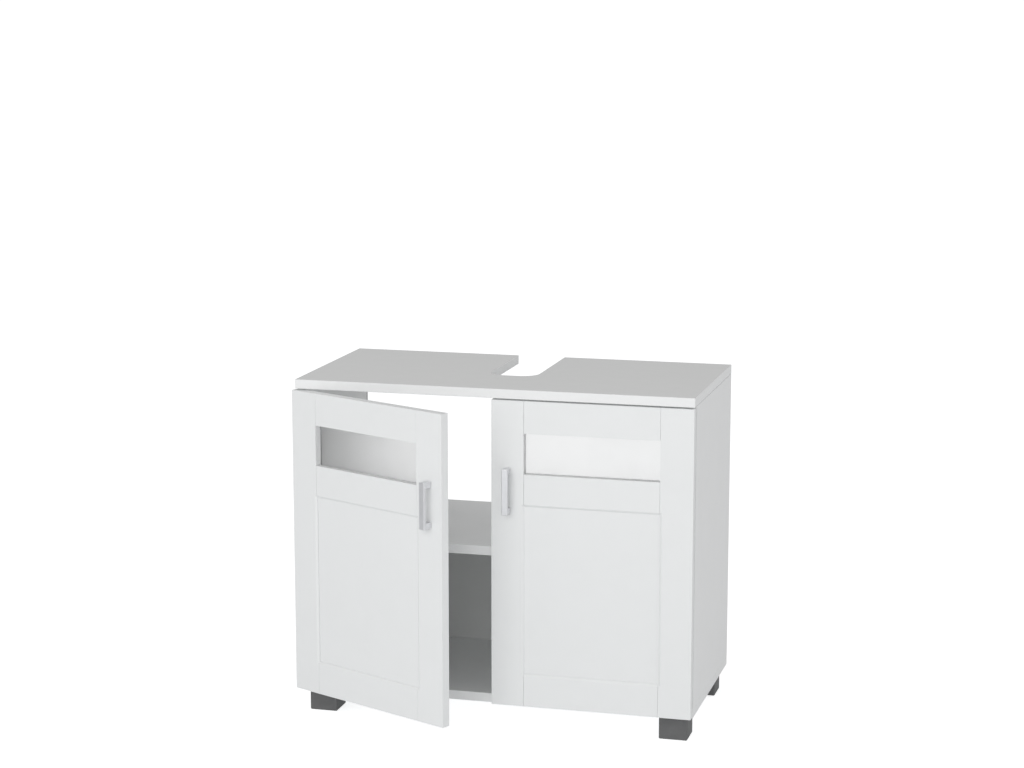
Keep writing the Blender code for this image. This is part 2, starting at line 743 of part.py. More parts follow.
def build():
    clear_scene()
    white = material("white_foil", (0.80, 0.81, 0.82), 0.35)
    plastic = material("dark_plastic", (0.10, 0.10, 0.10), 0.45)
    glass = material("frosted_glass", (0.62, 0.64, 0.65), 0.5, 0.0, 0.5)
    clear = material("clear_plastic", (0.75, 0.76, 0.76), 0.3)
    aluminium = material("satin_aluminium", (0.62, 0.62, 0.63), 0.35, 1.0)
    steel = material("plated_steel", (0.66, 0.66, 0.66), 0.3, 1.0)
    zinc = material("zinc", (0.55, 0.55, 0.56), 0.4, 1.0)

    top_board(white)
    base_board(white)
    shelf(white)
    back_panel(white)
    feet(plastic)
    for side in SIDES:
        side_panel(side, white)
        cam_locks(side, zinc)
        shelf_pins(side, zinc)
        axis = door_frame(side)
        door_panels(side, axis, white)
        door_glass(side, axis, glass, clear)
        door_handle(side, axis, aluminium, steel)
        door_buffers(side, axis, clear)
        for level, height in hinge_heights().items():
            hinge_cup(f"{side}_{level}_hinge_cup", side, height, axis, steel)
            hinge_arm(f"{side}_{level}_hinge_arm", side, height, steel)
            hinge_plate(f"{side}_{level}_hinge_plate", side, height, steel)


build()
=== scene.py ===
import json
import math

import bmesh
import bpy
from mathutils import Matrix, Vector


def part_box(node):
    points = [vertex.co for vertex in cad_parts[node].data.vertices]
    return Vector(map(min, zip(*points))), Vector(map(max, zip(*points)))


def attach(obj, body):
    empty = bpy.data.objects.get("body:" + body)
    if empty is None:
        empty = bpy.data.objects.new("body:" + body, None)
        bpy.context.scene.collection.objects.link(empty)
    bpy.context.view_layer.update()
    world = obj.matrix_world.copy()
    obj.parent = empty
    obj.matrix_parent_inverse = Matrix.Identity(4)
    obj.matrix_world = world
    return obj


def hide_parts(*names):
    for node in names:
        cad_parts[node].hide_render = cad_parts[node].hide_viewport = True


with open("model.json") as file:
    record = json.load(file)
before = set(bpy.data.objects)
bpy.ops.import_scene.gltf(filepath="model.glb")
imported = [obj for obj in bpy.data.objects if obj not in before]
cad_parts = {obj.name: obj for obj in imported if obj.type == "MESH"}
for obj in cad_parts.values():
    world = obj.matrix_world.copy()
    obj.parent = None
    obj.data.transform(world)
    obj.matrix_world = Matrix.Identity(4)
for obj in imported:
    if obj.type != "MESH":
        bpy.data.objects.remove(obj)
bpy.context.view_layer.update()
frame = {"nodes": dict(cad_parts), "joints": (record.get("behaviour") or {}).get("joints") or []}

# Camera, floor and light
# ------------------------------------------------------------------------------------------------
# A white cove: the pale floor and the even sky look brighter than the light that they give. Large soft
# boxes stand in front and on the right.

CAMERA_PLACE = (0.98087, -3.59948, 1.20902)
CAMERA_TILT = math.radians(79.941)
CAMERA_TURN = math.radians(15.078)
CAMERA_LENS = 83.29
SENSOR_WIDTH = 36.0


def add_object(name, data):
    made = bpy.data.objects.new(name, data)
    bpy.context.scene.collection.objects.link(made)
    return made


camera = add_object("camera", bpy.data.cameras.new("camera"))
camera.data.lens = CAMERA_LENS
camera.data.sensor_width = SENSOR_WIDTH
camera.data.clip_end = 200.0
camera.location = CAMERA_PLACE
camera.rotation_euler = (CAMERA_TILT, 0.0, CAMERA_TURN)
bpy.context.scene.camera = camera
bpy.context.scene.view_settings.view_transform = "Standard"
bpy.context.scene.cycles.diffuse_bounces = 10


def add_level(tree, light, seen):
    """One strength for the light that a surface gives and another for how bright it looks."""
    ray = tree.nodes.new("ShaderNodeLightPath")
    looked_at = tree.nodes.new("ShaderNodeMath")
    looked_at.operation = "MAXIMUM"
    level = tree.nodes.new("ShaderNodeMapRange")
    level.inputs["To Min"].default_value = light
    level.inputs["To Max"].default_value = seen
    tree.links.new(ray.outputs["Is Camera Ray"], looked_at.inputs[0])
    tree.links.new(ray.outputs["Is Transmission Ray"], looked_at.inputs[1])
    tree.links.new(looked_at.outputs[0], level.inputs["Value"])
    return level.outputs["Result"]


FLOOR_REACH = 60.0
FLOOR_SEEN = 0.75
FLOOR_LIGHT = 0.19
floor_form = bmesh.new()
bmesh.ops.create_grid(floor_form, x_segments=1, y_segments=1, size=FLOOR_REACH)
floor_mesh = bpy.data.meshes.new("floor")
floor_form.to_mesh(floor_mesh)
floor_form.free()
floor = add_object("floor", floor_mesh)
floor_paint = bpy.data.materials.new("pale_floor")
floor_paint.use_nodes = True
floor_shader = floor_paint.node_tree.nodes["Principled BSDF"]
floor_shader.inputs["Base Color"].default_value = (0.62, 0.63, 0.64, 1.0)
floor_shader.inputs["Roughness"].default_value = 0.9
floor_shader.inputs["Specular IOR Level"].default_value = 0.1
floor_shader.inputs["Emission Color"].default_value = (1.0, 1.0, 1.0, 1.0)
floor_glow = add_level(floor_paint.node_tree, FLOOR_LIGHT, FLOOR_SEEN)
floor_paint.node_tree.links.new(floor_glow, floor_shader.inputs["Emission Strength"])
floor_mesh.materials.append(floor_paint)

SKY_SEEN = 1.05
SKY_LIGHT = 0.53
sky = bpy.data.worlds.new("sky")
bpy.context.scene.world = sky
sky.use_nodes = True
sky_shader = sky.node_tree.nodes["Background"]
sky_shader.inputs["Color"].default_value = (1.0, 1.0, 1.0, 1.0)
sky.node_tree.links.new(add_level(sky.node_tree, SKY_LIGHT, SKY_SEEN), sky_shader.inputs["Strength"])

# name, place, aimed at, width, height, watts
SOFT_BOXES = (
    ("front_soft_box", (-0.35, -3.0, 1.4), (0.0, 0.0, 0.30), 2.8, 2.2, 40.0),
    ("right_soft_box", (2.6, -0.4, 1.0), (0.0, 0.1, 0.35), 1.4, 1.2, 8.0),
)
for name, place, target, width, height, watts in SOFT_BOXES:
    box = add_object(name, bpy.data.lights.new(name, "AREA"))
    box.data.shape = "RECTANGLE"
    box.data.size, box.data.size_y, box.data.energy = width, height, watts
    box.location = place
    box.rotation_euler = (Vector(target) - Vector(place)).to_track_quat("-Z", "Y").to_euler()
    box.visible_camera = False

# White foil boards: top, base, sides and shelf
# ------------------------------------------------------------------------------------------------
# 15 mm chipboard faced with white satin melamine foil, with a glossier ABS band on the cut edges.
# The edges are broken by 0.8 mm. The sides are drilled for the cam locks and the shelf pins, and the
# sides, shelf and base are grooved for the thin back panel.

BOARD_ROUNDING = 0.0008
ROUND_STEPS = 48
ARC_STEPS = 16
OVERRUN = 0.01  # how far a cutter runs out past the face that it opens
CUTOUT_WIDTH = 0.080
CUTOUT_DEPTH = 0.198
CUTOUT_RADIUS = 0.028
CLEARANCE = 0.0003
BACK_PANEL_BITE = 0.006


def shared_effect(name, inputs, outputs):
    """An empty node group with named sockets: returns the group, its input node and its output node."""
    group = bpy.data.node_groups.new(name, "ShaderNodeTree")
    for direction, sockets in (("INPUT", inputs), ("OUTPUT", outputs)):
        for socket, kind, start in sockets:
            made = group.interface.new_socket(socket, in_out=direction, socket_type="NodeSocket" + kind)
            if start is not None:
                made.default_value = start
    return group, group.nodes.new("NodeGroupInput"), group.nodes.new("NodeGroupOutput")


def grain_effect():
    """Fine relief in the piece's own axes. Density is how many grains fit in a metre along each axis."""
    group, given, made = shared_effect(
        "grain",
        (("Density", "Vector", (900.0, 900.0, 900.0)), ("Detail", "Float", 2.0)),
        (("Height", "Float", None),),
    )
    nodes, links = group.nodes, group.links
    where = nodes.new("ShaderNodeTexCoord")
    spread = nodes.new("ShaderNodeVectorMath")
    spread.operation = "MULTIPLY"
    noise = nodes.new("ShaderNodeTexNoise")
    noise.inputs["Scale"].default_value = 1.0
    links.new(where.outputs["Object"], spread.inputs[0])
    links.new(given.outputs["Density"], spread.inputs[1])
    links.new(spread.outputs["Vector"], noise.inputs["Vector"])
    links.new(given.outputs["Detail"], noise.inputs["Detail"])
    links.new(noise.outputs["Fac"], made.inputs["Height"])
    return group


def handling_effect():
    """Soft uneven patches, 0 where the finish is clean and 1 where hands and dust have dulled it."""
    group, given, made = shared_effect(
        "handling",
        (("Patches per metre", "Float", 14.0), ("Streaks per metre", "Float", 36.0)),
        (("Mask", "Float", None),),
    )
    nodes, links = group.nodes, group.links
    where = nodes.new("ShaderNodeTexCoord")
    patches = nodes.new("ShaderNodeTexNoise")
    patches.inputs["Detail"].default_value = 3.0
    streaks = nodes.new("ShaderNodeTexNoise")
    streaks.inputs["Detail"].default_value = 4.0
    both = nodes.new("ShaderNodeMath")
    both.operation = "MULTIPLY"
    lift = nodes.new("ShaderNodeMapRange")
    lift.inputs["From Min"].default_value = 0.10
    lift.inputs["From Max"].default_value = 0.45
    for noise, density in ((patches, "Patches per metre"), (streaks, "Streaks per metre")):
        links.new(where.outputs["Object"], noise.inputs["Vector"])
        links.new(given.outputs[density], noise.inputs["Scale"])
    links.new(patches.outputs["Fac"], both.inputs[0])
    links.new(streaks.outputs["Fac"], both.inputs[1])
    links.new(both.outputs[0], lift.inputs["Value"])
    links.new(lift.outputs["Result"], made.inputs["Mask"])
    return group


GRAIN = grain_effect()
HANDLING = handling_effect()


def finish(name, clean, dulled, roughness, grain, depth, detail=2.0, metallic=0.0, patches=14.0):
    """A material whose colour and roughness run from clean to dulled with handling, over a fine grain.

    Grain is its density per metre along each axis of the piece, and depth its height in metres.
    """
    material = bpy.data.materials.new(name)
    material.use_nodes = True
    nodes, links = material.node_tree.nodes, material.node_tree.links
    shader = nodes["Principled BSDF"]
    shader.inputs["Metallic"].default_value = metallic
    dulling = nodes.new("ShaderNodeGroup")
    dulling.node_tree = HANDLING
    dulling.inputs["Patches per metre"].default_value = patches
    colour = nodes.new("ShaderNodeMix")
    colour.data_type = "RGBA"
    colour.inputs["A"].default_value = (*clean, 1.0)
    colour.inputs["B"].default_value = (*dulled, 1.0)
    rough = nodes.new("ShaderNodeMapRange")
    rough.inputs["To Min"].default_value, rough.inputs["To Max"].default_value = roughness
    relief = nodes.new("ShaderNodeGroup")
    relief.node_tree = GRAIN
    relief.inputs["Density"].default_value = grain
    relief.inputs["Detail"].default_value = detail
    bump = nodes.new("ShaderNodeBump")
    bump.inputs["Distance"].default_value = depth
    links.new(dulling.outputs["Mask"], colour.inputs["Factor"])
    links.new(colour.outputs["Result"], shader.inputs["Base Color"])
    links.new(dulling.outputs["Mask"], rough.inputs["Value"])
    links.new(rough.outputs["Result"], shader.inputs["Roughness"])
    links.new(relief.outputs["Height"], bump.inputs["Height"])
    links.new(bump.outputs["Normal"], shader.inputs["Normal"])
    return material


board_foil = finish(
    "board_foil", (0.885, 0.89, 0.89), (0.872, 0.877, 0.875), (0.32, 0.38), (1400.0, 1400.0, 1400.0), 0.000005
)
# The top board has the same white satin foil as the other boards, but its colour is darker: painted shade
# over the top board. Its lower roughness is the top's own glossier finish.
top_foil = finish(
    "top_foil", (0.82, 0.825, 0.82), (0.808, 0.813, 0.808), (0.19, 0.24), (900.0, 900.0, 900.0), 0.000002
)
edge_band = finish(
    "edge_band", (0.88, 0.885, 0.885), (0.872, 0.877, 0.876), (0.29, 0.32), (1600.0, 1600.0, 1600.0), 0.000001
)


def box_form(low, high):
    low, high = [Vector(map(pick, zip(low, high))) for pick in (min, max)]
    form = bmesh.new()
    size = Matrix.Diagonal((*(high - low), 1.0))
    bmesh.ops.create_cube(form, size=1.0, matrix=Matrix.Translation((low + high) / 2) @ size)
    return form


def rod_form(radius, start, end, steps=ROUND_STEPS):
    """A closed rod with flat ends."""
    start, end = Vector(start), Vector(end)
    turn = (end - start).to_track_quat("Z", "Y").to_matrix().to_4x4()
    form = bmesh.new()
    bmesh.ops.create_cone(
        form,
        cap_ends=True,
        segments=steps,
        radius1=radius,
        radius2=radius,
        depth=(end - start).length,
        matrix=Matrix.Translation((start + end) / 2) @ turn,
    )
    return form


def prism_form(outline, low, high, axis):
    """An outline of (u, v) points, in the order of the other two axes, carried along one axis."""
    form = bmesh.new()
    ends = []
    for level in (low, high):
        points = []
        for u, v in outline:
            point = [u, v]
            point.insert(axis, level)
            points.append(form.verts.new(point))
        ends.append(points)
    form.faces.new(ends[0])
    form.faces.new(reversed(ends[1]))
    for i, start in enumerate(ends[0]):
        form.faces.new((ends[0][i - 1], start, ends[1][i], ends[1][i - 1]))
    bmesh.ops.recalc_face_normals(form, faces=form.faces)
    return form


def to_temporary(form):
    mesh = bpy.data.meshes.new("temporary")
    form.to_mesh(mesh)
    form.free()
    return add_object("temporary", mesh)


def carve(form, *cutters, operation="DIFFERENCE"):
    """Cuts each closed form from the first one, or joins them to it, and returns the result."""
    for cutter in cutters:
        piece, tool = to_temporary(form), to_temporary(cutter)
        step = piece.modifiers.new("step", "BOOLEAN")
        step.operation, step.object, step.solver = operation, tool, "EXACT"
        worked = piece.evaluated_get(bpy.context.evaluated_depsgraph_get()).to_mesh()
        form = bmesh.new()
        form.from_mesh(worked)
        for spent in (piece, tool):
            bpy.data.meshes.remove(spent.data)
    return form


def round_edges(piece, width, steps=3, angle=25.0):
    edge = piece.modifiers.new("rounded_edges", "BEVEL")
    edge.width, edge.segments = width, steps
    edge.limit_method, edge.angle_limit = "ANGLE", math.radians(angle)
    edge.harden_normals = True


def make_piece(name, form, material, body, stands_for=(), place=Matrix(), rounding=0.0, steps=3):
    """Turns a form into a piece that rides on a body and shows in place of these nodes."""
    bmesh.ops.recalc_face_normals(form, faces=form.faces)
    mesh = bpy.data.meshes.new(name)
    form.to_mesh(mesh)
    form.free()
    mesh.materials.append(material)
    mesh.shade_smooth()
    piece = add_object(name, mesh)
    piece.matrix_world = place
    if rounding:
        round_edges(piece, rounding, steps)
    else:
        mesh.set_sharp_from_angle(angle=math.radians(30.0))
    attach(piece, body)
    if stands_for:
        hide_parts(*stands_for)
    return piece


def band_edges(piece, thin_axis):
    """Gives the narrow faces of a board, which are square to its thin axis, the edge band's finish."""
    piece.data.materials.append(edge_band)
    for face in piece.data.polygons:
        if abs(face.normal[thin_axis]) < 0.5:
            face.material_index = 1


def back_groove_form(low, high):
    """The groove's space: as thick as the back panel and its clearance, between these two corners."""
    panel_low, panel_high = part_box("back_panel")
    return box_form(
        (low[0], panel_low.y - CLEARANCE, low[1]), (high[0], panel_high.y + CLEARANCE, high[1])
    )


top_low, top_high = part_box("top_board")
cutout = [(CUTOUT_WIDTH / 2, top_high.y + CUTOUT_RADIUS)]
cutout_front = top_high.y - CUTOUT_DEPTH
for side in (1, -1):
    for step in range(ARC_STEPS + 1):
        turn = math.pi / 2 * (step if side == 1 else ARC_STEPS - step) / ARC_STEPS
        cutout.append(
            (
                side * (CUTOUT_WIDTH / 2 - CUTOUT_RADIUS * (1 - math.cos(turn))),
                cutout_front + CUTOUT_RADIUS * (1 - math.sin(turn)),
            )
        )
cutout.append((-CUTOUT_WIDTH / 2, top_high.y + CUTOUT_RADIUS))
top_form = carve(
    box_form(top_low, top_high), prism_form(cutout, top_low.z - OVERRUN, top_high.z + OVERRUN, 2)
)
top = make_piece(
    "top_panel", top_form, top_foil, "carcass", ["top_board"], rounding=BOARD_ROUNDING
)
band_edges(top, 2)

base_low, base_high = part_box("base_board")
panel_low, panel_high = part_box("back_panel")
base_form = carve(
    box_form(base_low, base_high),
    back_groove_form(
        (panel_low.x, base_high.z - BACK_PANEL_BITE), (panel_high.x, base_high.z + OVERRUN)
    ),
)
base = make_piece(
    "base_panel", base_form, board_foil, "carcass", ["base_board"], rounding=BOARD_ROUNDING
)
band_edges(base, 2)

shelf_low, shelf_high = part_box("shelf")
shelf_form = carve(
    box_form(shelf_low, shelf_high),
    back_groove_form(
        (shelf_low.x - OVERRUN, shelf_low.z - OVERRUN),
        (shelf_high.x + OVERRUN, shelf_low.z + BACK_PANEL_BITE),
    ),
)
shelf = make_piece(
    "shelf_panel", shelf_form, board_foil, "carcass", ["shelf"], rounding=BOARD_ROUNDING
)
band_edges(shelf, 2)

CAM_RADIUS = 0.0075
PIN_RADIUS = 0.0025
LEVELS = ("lower", "upper")


def drilling(node, past):
    """The bore round a cam lock or shelf pin that lies in a side panel, run out past the inner face."""
    low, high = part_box(node)
    middle = (low + high) / 2
    radius = CAM_RADIUS if "cam" in node else PIN_RADIUS
    outer = max(abs(low.x), abs(high.x))
    sign = math.copysign(1, middle.x)
    z = middle.z if "cam" in node else high.z - PIN_RADIUS
    return rod_form(
        radius + CLEARANCE, (sign * (outer + CLEARANCE), middle.y, z), (sign * past, middle.y, z), 32
    )


for side in ("left", "right"):
    side_low, side_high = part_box(f"{side}_side_panel")
    inner_face = min(abs(side_low.x), abs(side_high.x))
    cams = [f"{side}_{level}_{end}_cam_lock" for level in LEVELS for end in ("front", "back")]
    pins = [f"{side}_{end}_shelf_pin" for end in ("front", "back")]
    sign = -1 if side == "left" else 1
    groove = back_groove_form(
        (sign * (inner_face - OVERRUN), side_low.z - OVERRUN),
        (sign * (inner_face + BACK_PANEL_BITE), side_high.z + OVERRUN),
    )
    bores = [drilling(node, inner_face - OVERRUN) for node in cams + pins]
    side_form = carve(box_form(side_low, side_high), groove, *bores)
    panel = make_piece(
        f"{side}_side_board", side_form, board_foil, "carcass", [f"{side}_side_panel"],
        rounding=BOARD_ROUNDING,
    )
    band_edges(panel, 0)

# Back panel
# ------------------------------------------------------------------------------------------------
# 3 mm hardboard in the grooves of the sides, base and shelf. Its front is lacquered white and its
# back is bare brown fibre, pressed against a mesh.

BACK_ROUNDING = 0.0002

back_lacquer = finish(
    "back_lacquer", (0.82, 0.825, 0.82), (0.79, 0.795, 0.79), (0.42, 0.52), (420.0, 420.0, 420.0), 0.00003
)
bare_hardboard = finish(
    "bare_hardboard", (0.35, 0.24, 0.15), (0.315, 0.21, 0.128), (0.74, 0.84), (650.0, 650.0, 650.0), 0.00012,
    detail=5.0, patches=40.0,
)
back = make_piece(
    "back_sheet", box_form(panel_low, panel_high), back_lacquer, "carcass", ["back_panel"],
    rounding=BACK_ROUNDING, steps=2,
)
back.data.materials.append(bare_hardboard)
for face in back.data.polygons:
    if face.normal.y > 0.5:
        face.material_index = 1

# Cam locks and shelf pins
# ------------------------------------------------------------------------------------------------
# Die-cast zinc nuts turned with a cross driver, with an arrow that shows the open way, and nickel
# plated pins with a flat ledge that the shelf lies on.

CAM_RIM = 0.0007
CAM_SLOT_LONG = 0.0045
CAM_SLOT_WIDE = 0.0008
CAM_SLOT_DEEP = 0.0026
CAM_ARROW_WIDE = 0.0009
CAM_ARROW_DEEP = 0.0003
CAM_ARROW = (0.0052, 0.0066)  # its foot and its tip, from the middle of the nut
PIN_LEDGE_ROUNDING = 0.0006

zinc = finish(
    "die_cast_zinc", (0.56, 0.56, 0.57), (0.42, 0.42, 0.43), (0.34, 0.50), (1500.0, 1500.0, 1500.0), 0.00003,
    metallic=1.0, patches=220.0,
)


def lathe_form(profile, steps=32):
    """A turned form: (radius, height) points that start and end on the axis."""
    form = bmesh.new()
    rings = []
    for radius, height in profile:
        count = steps if radius else 1
        turns = [2 * math.pi * i / steps for i in range(count)]
        rings.append([form.verts.new((radius * math.cos(a), radius * math.sin(a), height)) for a in turns])
    for lower, upper in zip(rings, rings[1:]):
        for i in range(steps):
            j = (i + 1) % steps
            near = (lower[i % len(lower)], lower[j % len(lower)])
            far = (upper[j % len(upper)], upper[i % len(upper)])
            form.faces.new(dict.fromkeys(near + far))
    bmesh.ops.recalc_face_normals(form, faces=form.faces)
    return form


def facing(point, direction, turn=0.0):
    """The place of a form that is made along +Z, so that it stands at a point and looks in a direction."""
    aim = Vector(direction).to_track_quat("Z", "Y").to_matrix().to_4x4()
    return Matrix.Translation(point) @ aim @ Matrix.Rotation(turn, 4, "Z")


def cam_form(depth):
    form = lathe_form(
        (
            (0.0, -depth),
            (CAM_RADIUS - CAM_RIM, -depth),
            (CAM_RADIUS, CAM_RIM - depth),
            (CAM_RADIUS, -CAM_RIM),
            (CAM_RADIUS - CAM_RIM / 3, -CAM_RIM / 3),
            (CAM_RADIUS - CAM_RIM, 0.0),
            (0.0, 0.0),
        ),
        40,
    )
    slots = [
        box_form((-long, -wide, -CAM_SLOT_DEEP), (long, wide, CAM_SLOT_DEEP))
        for long, wide in ((CAM_SLOT_LONG, CAM_SLOT_WIDE), (CAM_SLOT_WIDE, CAM_SLOT_LONG))
    ]
    foot, tip = CAM_ARROW
    arrow = prism_form(
        ((-CAM_ARROW_WIDE, foot), (CAM_ARROW_WIDE, foot), (0.0, tip)), -CAM_ARROW_DEEP, 0.001, 2
    )
    return carve(form, *slots, arrow)


for side in ("left", "right"):
    inward = 1.0 if side == "left" else -1.0
    for level in LEVELS:
        for end in ("front", "back"):
            node = f"{side}_{level}_{end}_cam_lock"
            low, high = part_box(node)
            face = high.x if side == "left" else low.x
            middle = (low + high) / 2
            make_piece(
                f"{node}_nut",
                cam_form(high.x - low.x),
                zinc,
                "carcass",
                [node],
                facing((face, middle.y, middle.z), (inward, 0.0, 0.0), 0.0 if level == "upper" else math.pi),
            )

plated_steel = finish(
    "plated_steel", (0.70, 0.695, 0.68), (0.55, 0.545, 0.53), (0.20, 0.34), (900.0, 900.0, 900.0), 0.00001,
    metallic=1.0, patches=90.0,
)
for side in ("left", "right"):
    inner_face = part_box(f"{side}_side_panel")[1 if side == "left" else 0].x
    inward = 1.0 if side == "left" else -1.0
    for end in ("front", "back"):
        node = f"{side}_{end}_shelf_pin"
        low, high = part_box(node)
        y, z = (low.y + high.y) / 2, high.z - PIN_RADIUS
        outer = low.x if side == "left" else high.x
        tip = high.x if side == "left" else low.x
        shank = rod_form(PIN_RADIUS, (outer, y, z), ((inner_face + tip) / 2, y, z), 24)
        ledge = box_form((inner_face + inward * CLEARANCE, low.y, low.z), (tip, high.y, high.z))
        make_piece(
            f"{node}_support",
            carve(shank, ledge, operation="UNION"),
            plated_steel,
            "carcass",
            [node],
            rounding=PIN_LEDGE_ROUNDING,
            steps=2,
        )

# Feet
# ------------------------------------------------------------------------------------------------
# Square dark grey feet, moulded in polypropylene with rounded corners and a fine spark-eroded skin,
# screwed up into the base through the hole in each sole.

FOOT_ROUNDING = 0.0022
FOOT_HOLE_RADIUS = 0.0052
FOOT_HOLE_DEPTH = 0.012
FOOT_EDGE_ROUNDING = 0.0003
FOOT_SCREW = (0.0042, 0.0022)  # the head's radius and height

foot_plastic = finish(
    "foot_plastic", (0.140, 0.141, 0.142), (0.165, 0.166, 0.167), (0.46, 0.60), (2200.0, 2200.0, 2200.0),
    0.00004, detail=1.0, patches=60.0,
)
foot_plastic.node_tree.nodes["Principled BSDF"].inputs["Specular IOR Level"].default_value = 0.2


def screw_head_form(radius, height, shank=0.0, length=0.0):
    """A pan head with a cross recess, on a plain shank where it has one."""
    profile = [(0.0, -length), (shank, -length), (shank, 0.0)] if length else [(0.0, 0.0)]
    profile += [
        (radius, 0.0),
        (radius, height * 0.35),
        (radius * 0.93, height * 0.72),
        (radius * 0.76, height * 0.93),
        (radius * 0.5, height),
        (0.0, height),
    ]
    form = lathe_form(profile, 28)
    long, wide = radius * 0.58, radius * 0.13
    cross = [
        box_form((-x, -y, height * 0.35), (x, y, height * 2)) for x, y in ((long, wide), (wide, long))
    ]
    return carve(form, *cross)


for end in ("front", "back"):
    for side in ("left", "right"):
        node = f"{end}_{side}_foot"
        low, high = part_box(node)
        middle = (low + high) / 2
        form = box_form(low, high)
        lower = [edge for edge in form.edges if min(v.co.z for v in edge.verts) < middle.z]
        bmesh.ops.bevel(
            form, geom=lower, offset=FOOT_ROUNDING, offset_type="OFFSET", segments=5, profile=0.5,
            affect="EDGES",
        )
        hole = rod_form(
            FOOT_HOLE_RADIUS, (middle.x, middle.y, -CLEARANCE), (middle.x, middle.y, FOOT_HOLE_DEPTH), 32
        )
        make_piece(
            f"{node}_block", carve(form, hole), foot_plastic, "carcass", [node],
            rounding=FOOT_EDGE_ROUNDING, steps=2,
        )
        stopped_at = middle.x * 7 + middle.y * 3  # the turn that each screw was left at
        make_piece(
            f"{node}_screw",
            screw_head_form(*FOOT_SCREW),
            plated_steel,
            "carcass",
            place=facing((middle.x, middle.y, FOOT_HOLE_DEPTH), (0.0, 0.0, -1.0), stopped_at),
        )

# Door frames and panels
# ------------------------------------------------------------------------------------------------
# Five MDF pieces wrapped in white satin foil, butted so that a fine V shows at each joint, round a
# thin panel let into a groove. A sloping moulding leads down to the panel. Both doors are made in the
# hinge's own frame: across from the hinge edge, back from the hinge axis, and up.

DOOR_ROUNDING = 0.0003
PANEL_ROUNDING = 0.0004
DOOR_OVERRUN = 0.02  # how far behind the hinge axis a cutter ends that opens the door's back
MOULDING_WIDTH = 0.0035
MOULDING_DEPTH = 0.0025

door_foil = finish(
    "door_foil", (0.85, 0.86, 0.86), (0.838, 0.848, 0.848), (0.38, 0.44), (1300.0, 1300.0, 1300.0), 0.000006
)
DOOR_SIGN = {"left": 1.0, "right": -1.0}
HINGES = {joint["child"].replace("_door", ""): joint for joint in frame["joints"]}
RIGHT_AXIS = Vector(HINGES["right"]["pos_m"])


def door_place(side):
    """Where a closed door's frame stands, turned by as much as the door rests open."""
    joint = HINGES[side]
    x, y, _ = joint["pos_m"]
    ajar = Matrix.Rotation(math.radians(-joint["range_deg"][0]), 4, joint["axis"])
    return Matrix.Translation((x, y, 0.0)) @ ajar


def on_door(node):
    """A door node's ranges across, back and up. They are read off the right door, which rests closed."""
    low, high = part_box("right_door_" + node)
    return (
        (RIGHT_AXIS.x - high.x, RIGHT_AXIS.x - low.x),
        (low.y - RIGHT_AXIS.y, high.y - RIGHT_AXIS.y),
        (low.z, high.z),
    )


def door_box(side, across, back, up):
    sign = DOOR_SIGN[side]
    return box_form((sign * across[0], back[0], up[0]), (sign * across[1], back[1], up[1]))


def grown(span, by):
    return (span[0] - by, span[1] + by)


def moulding_form(side, across, up, front):
    """The space over a recess, with its four walls sloping in by the moulding's width."""
    sign = DOOR_SIGN[side]
    form = bmesh.new()
    rings = []
    for back, wider in ((front - MOULDING_DEPTH, 2 * MOULDING_WIDTH), (front + MOULDING_DEPTH, 0.0)):
        (left, right), (low, high) = grown(across, wider), grown(up, wider)
        corners = ((left, low), (right, low), (right, high), (left, high))
        rings.append([form.verts.new((sign * x, back, z)) for x, z in corners])
    form.faces.new(rings[0])
    form.faces.new(reversed(rings[1]))
    for i in range(4):
        form.faces.new((rings[0][i - 1], rings[0][i], rings[1][i], rings[1][i - 1]))
    bmesh.ops.recalc_face_normals(form, faces=form.faces)
    return form


hinge_stile, handle_stile = on_door("hinge_stile"), on_door("handle_stile")
top_rail, middle_rail, bottom_rail = (on_door(f"{rail}_rail") for rail in ("top", "middle", "bottom"))
door_back_face = hinge_stile[1][1]
door_front_face = hinge_stile[1][0]
opening_across = (hinge_stile[0][1], handle_stile[0][0])
window_up = (middle_rail[2][1], top_rail[2][0])
panel_up = (bottom_rail[2][1], middle_rail[2][0])
pane, lower_panel = on_door("glass"), on_door("lower_panel")
cups = {level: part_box(f"right_{level}_hinge_cup") for level in LEVELS}
screws = {level: on_door(f"{level}_handle_screw") for level in LEVELS}
CUP_RADIUS = 0.0175
SCREW_RADIUS = 0.002


def middle_of(span):
    return (span[0] + span[1]) / 2


cup_across = middle_of([RIGHT_AXIS.x - corner.x for corner in cups["lower"]])
cup_front = cups["lower"][0].y - RIGHT_AXIS.y
cup_up = {level: (box[0].z + box[1].z) / 2 for level, box in cups.items()}

